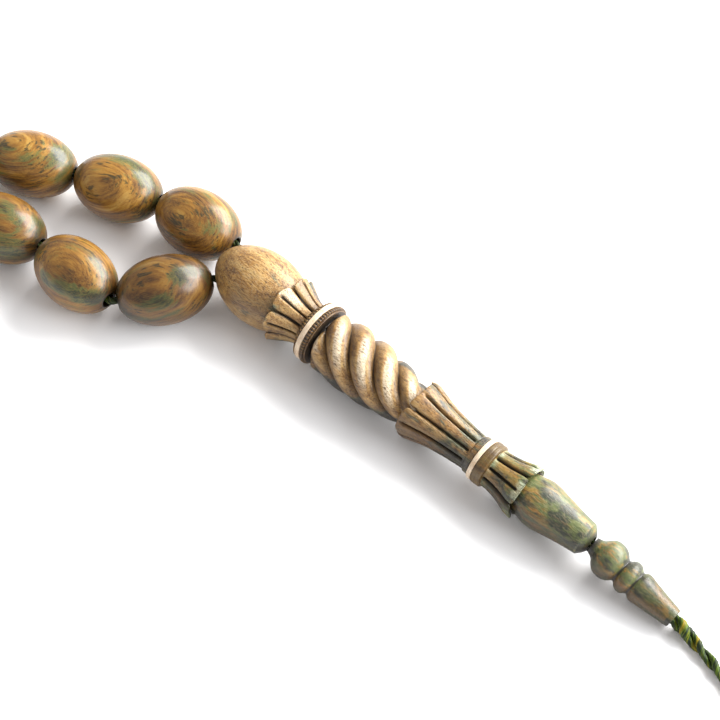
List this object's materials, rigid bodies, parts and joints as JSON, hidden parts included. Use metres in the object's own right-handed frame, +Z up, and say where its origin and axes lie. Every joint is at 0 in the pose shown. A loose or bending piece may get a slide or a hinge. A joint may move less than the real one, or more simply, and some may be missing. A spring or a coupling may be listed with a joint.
{
  "type": "misbaha prayer beads",
  "caption": "Loop of olive-shaped wooden prayer beads on a silk cord, with a carved leader bead, turned finial and twisted tassel tail.",
  "frame": {"origin": "on the table plane, under the middle of the box of the bead loop, imame and finial (the free tail left out)", "axes": "+X along the imame towards the finial and tail, +Z up from the table, the bead loop towards -X"},
  "size_m": [0.3479, 0.077, 0.0086],
  "materials": {
    "bead_wood": "satin waxed wood, golden brown with dark green figure",
    "pale_wood": "carved and sanded pale tan wood with fine pores",
    "olive_wood": "satin olive green wood with golden streaks",
    "bone": "polished cream bone",
    "silk_cord": "dark green twisted silk",
    "silk_tassel": "dark green silk thread"
  },
  "bodies": {
    "imame": {"imame_head": "pale_wood", "bone_ring_1": "bone", "imame_column": "pale_wood", "bone_ring_2": "bone", "imame_base": "olive_wood", "imame_core_cord": "silk_cord", "stringing_cord": "silk_cord"},
    "bead_01": {"bead_01": "bead_wood"},
    "bead_02": {"bead_02": "bead_wood"},
    "bead_03": {"bead_03": "bead_wood"},
    "bead_04": {"bead_04": "bead_wood"},
    "bead_05": {"bead_05": "bead_wood"},
    "bead_06": {"bead_06": "bead_wood"},
    "bead_07": {"bead_07": "bead_wood"},
    "bead_08": {"bead_08": "bead_wood"},
    "bead_09": {"bead_09": "bead_wood"},
    "bead_10": {"bead_10": "bead_wood"},
    "bead_11": {"bead_11": "bead_wood"},
    "bead_12": {"bead_12": "bead_wood"},
    "bead_13": {"bead_13": "bead_wood"},
    "bead_14": {"bead_14": "bead_wood"},
    "bead_15": {"bead_15": "bead_wood"},
    "bead_16": {"bead_16": "bead_wood"},
    "bead_17": {"bead_17": "bead_wood"},
    "bead_18": {"bead_18": "bead_wood"},
    "bead_19": {"bead_19": "bead_wood"},
    "bead_20": {"bead_20": "bead_wood"},
    "bead_21": {"bead_21": "bead_wood"},
    "bead_22": {"bead_22": "bead_wood"},
    "bead_23": {"bead_23": "bead_wood"},
    "bead_24": {"bead_24": "bead_wood"},
    "bead_25": {"bead_25": "bead_wood"},
    "bead_26": {"bead_26": "bead_wood"},
    "bead_27": {"bead_27": "bead_wood"},
    "bead_28": {"bead_28": "bead_wood"},
    "bead_29": {"bead_29": "bead_wood"},
    "bead_30": {"bead_30": "bead_wood"},
    "bead_31": {"bead_31": "bead_wood"},
    "bead_32": {"bead_32": "bead_wood"},
    "bead_33": {"bead_33": "bead_wood"},
    "separator_1": {"separator_1": "olive_wood"},
    "separator_2": {"separator_2": "olive_wood"},
    "finial": {"finial": "olive_wood"},
    "tail": {"tail_cord": "silk_cord", "tassel_knot": "silk_tassel", "tassel_head": "silk_tassel", "tassel_skirt": "silk_tassel"}
  },
  "joints": [
    {"name": "separator_1_spin", "type": "hinge", "parent": "imame", "child": "separator_1", "pos_m": [-0.06122, 0.03171, 0.004], "axis": [0.9449, -0.3274, 0], "continuous": true},
    {"name": "separator_2_slide", "type": "slide", "parent": "imame", "child": "separator_2", "axis": [-0.9989, -0.0467, 0], "range_m": [0, 0.0285]},
    {"name": "finial_spin", "type": "hinge", "parent": "imame", "child": "finial", "pos_m": [0.11249, 0.01161, 0.0029], "axis": [0.9885, -0.0397, -0.1461], "continuous": true},
    {"name": "tail_swing", "type": "hinge", "parent": "imame", "child": "tail", "pos_m": [0.12375, 0.01118, 0.00115], "axis": [0, 0, 1], "range_deg": [-30, 30]},
    {"name": "bead_01_spin", "type": "hinge", "parent": "imame", "child": "bead_01", "pos_m": [0.0532, 0.01352, 0.004], "axis": [0.9913, 0.1319, 0], "continuous": true},
    {"name": "bead_02_spin", "type": "hinge", "parent": "imame", "child": "bead_02", "pos_m": [0.04235, 0.01089, 0.004], "axis": [0.9412, 0.3379, 0], "continuous": true},
    {"name": "bead_03_spin", "type": "hinge", "parent": "imame", "child": "bead_03", "pos_m": [0.03193, 0.00661, 0.004], "axis": [0.9079, 0.4193, 0], "continuous": true},
    {"name": "bead_04_spin", "type": "hinge", "parent": "imame", "child": "bead_04", "pos_m": [0.02109, 0.00324, 0.004], "axis": [0.9854, 0.1705, 0], "continuous": true},
    {"name": "bead_05_spin", "type": "hinge", "parent": "imame", "child": "bead_05", "pos_m": [0.00968, 0.00257, 0.004], "axis": [0.9985, -0.0539, 0], "continuous": true},
    {"name": "bead_06_spin", "type": "hinge", "parent": "imame", "child": "bead_06", "pos_m": [-0.00165, 0.00423, 0.004], "axis": [0.972, -0.235, 0], "continuous": true},
    {"name": "bead_07_spin", "type": "hinge", "parent": "imame", "child": "bead_07", "pos_m": [-0.01259, 0.00768, 0.004], "axis": [0.931, -0.3651, 0], "continuous": true},
    {"name": "bead_08_spin", "type": "hinge", "parent": "imame", "child": "bead_08", "pos_m": [-0.02309, 0.01236, 0.004], "axis": [0.8941, -0.4479, 0], "continuous": true},
    {"name": "bead_09_spin", "type": "hinge", "parent": "imame", "child": "bead_09", "pos_m": [-0.03326, 0.01771, 0.004], "axis": [0.8754, -0.4834, 0], "continuous": true},
    {"name": "bead_10_spin", "type": "hinge", "parent": "imame", "child": "bead_10", "pos_m": [-0.04335, 0.02323, 0.004], "axis": [0.8792, -0.4765, 0], "continuous": true},
    {"name": "bead_11_spin", "type": "hinge", "parent": "imame", "child": "bead_11", "pos_m": [-0.05361, 0.02842, 0.004], "axis": [0.9046, -0.4262, 0], "continuous": true},
    {"name": "bead_12_spin", "type": "hinge", "parent": "imame", "child": "bead_12", "pos_m": [-0.06928, 0.03358, 0.004], "axis": [0.9837, -0.18, 0], "continuous": true},
    {"name": "bead_13_spin", "type": "hinge", "parent": "imame", "child": "bead_13", "pos_m": [-0.08069, 0.0345, 0.004], "axis": [0.9998, 0.02, 0], "continuous": true},
    {"name": "bead_14_spin", "type": "hinge", "parent": "imame", "child": "bead_14", "pos_m": [-0.09199, 0.03287, 0.004], "axis": [0.9649, 0.2625, 0], "continuous": true},
    {"name": "bead_15_spin", "type": "hinge", "parent": "imame", "child": "bead_15", "pos_m": [-0.10244, 0.02835, 0.004], "axis": [0.8521, 0.5234, 0], "continuous": true},
    {"name": "bead_16_spin", "type": "hinge", "parent": "imame", "child": "bead_16", "pos_m": [-0.11106, 0.02096, 0.004], "axis": [0.6473, 0.7622, 0], "continuous": true},
    {"name": "bead_17_spin", "type": "hinge", "parent": "imame", "child": "bead_17", "pos_m": [-0.11688, 0.01123, 0.004], "axis": [0.3651, 0.931, 0], "continuous": true},
    {"name": "bead_18_spin", "type": "hinge", "parent": "imame", "child": "bead_18", "pos_m": [-0.11921, 0.00013, 0.004], "axis": [0.0409, 0.9992, 0], "continuous": true},
    {"name": "bead_19_spin", "type": "hinge", "parent": "imame", "child": "bead_19", "pos_m": [-0.1178, -0.01112, 0.004], "axis": [-0.2863, 0.9581, 0], "continuous": true},
    {"name": "bead_20_spin", "type": "hinge", "parent": "imame", "child": "bead_20", "pos_m": [-0.1128, -0.0213, 0.004], "axis": [-0.583, 0.8124, 0], "continuous": true},
    {"name": "bead_21_spin", "type": "hinge", "parent": "imame", "child": "bead_21", "pos_m": [-0.10476, -0.0293, 0.004], "axis": [-0.8158, 0.5784, 0], "continuous": true},
    {"name": "bead_22_spin", "type": "hinge", "parent": "imame", "child": "bead_22", "pos_m": [-0.09455, -0.03424, 0.004], "axis": [-0.9597, 0.281, 0], "continuous": true},
    {"name": "bead_23_spin", "type": "hinge", "parent": "separator_2", "child": "bead_23", "pos_m": [-0.04924, -0.03399, 0.004], "axis": [-0.9989, -0.0467, 0], "continuous": true},
    {"name": "bead_24_spin", "type": "hinge", "parent": "imame", "child": "bead_24", "pos_m": [-0.03786, -0.03263, 0.004], "axis": [-0.9815, -0.1914, 0], "continuous": true},
    {"name": "bead_25_spin", "type": "hinge", "parent": "imame", "child": "bead_25", "pos_m": [-0.02676, -0.02971, 0.004], "axis": [-0.9486, -0.3165, 0], "continuous": true},
    {"name": "bead_26_spin", "type": "hinge", "parent": "imame", "child": "bead_26", "pos_m": [-0.01605, -0.02555, 0.004], "axis": [-0.9138, -0.4061, 0], "continuous": true},
    {"name": "bead_27_spin", "type": "hinge", "parent": "imame", "child": "bead_27", "pos_m": [-0.00568, -0.02059, 0.004], "axis": [-0.8897, -0.4566, 0], "continuous": true},
    {"name": "bead_28_spin", "type": "hinge", "parent": "imame", "child": "bead_28", "pos_m": [0.00453, -0.0153, 0.004], "axis": [-0.8857, -0.4642, 0], "continuous": true},
    {"name": "bead_29_spin", "type": "hinge", "parent": "imame", "child": "bead_29", "pos_m": [0.01481, -0.01016, 0.004], "axis": [-0.903, -0.4297, 0], "continuous": true},
    {"name": "bead_30_spin", "type": "hinge", "parent": "imame", "child": "bead_30", "pos_m": [0.02539, -0.00567, 0.004], "axis": [-0.9363, -0.3512, 0], "continuous": true},
    {"name": "bead_31_spin", "type": "hinge", "parent": "imame", "child": "bead_31", "pos_m": [0.03636, -0.00231, 0.004], "axis": [-0.9725, -0.2331, 0], "continuous": true},
    {"name": "bead_32_spin", "type": "hinge", "parent": "imame", "child": "bead_32", "pos_m": [0.0477, -0.001, 0.004], "axis": [-1, 0.005, 0], "continuous": true},
    {"name": "bead_33_spin", "type": "hinge", "parent": "imame", "child": "bead_33", "pos_m": [0.05719, 0.00423, 0.004], "axis": [-0.5305, -0.8477, 0], "continuous": true}
  ]
}
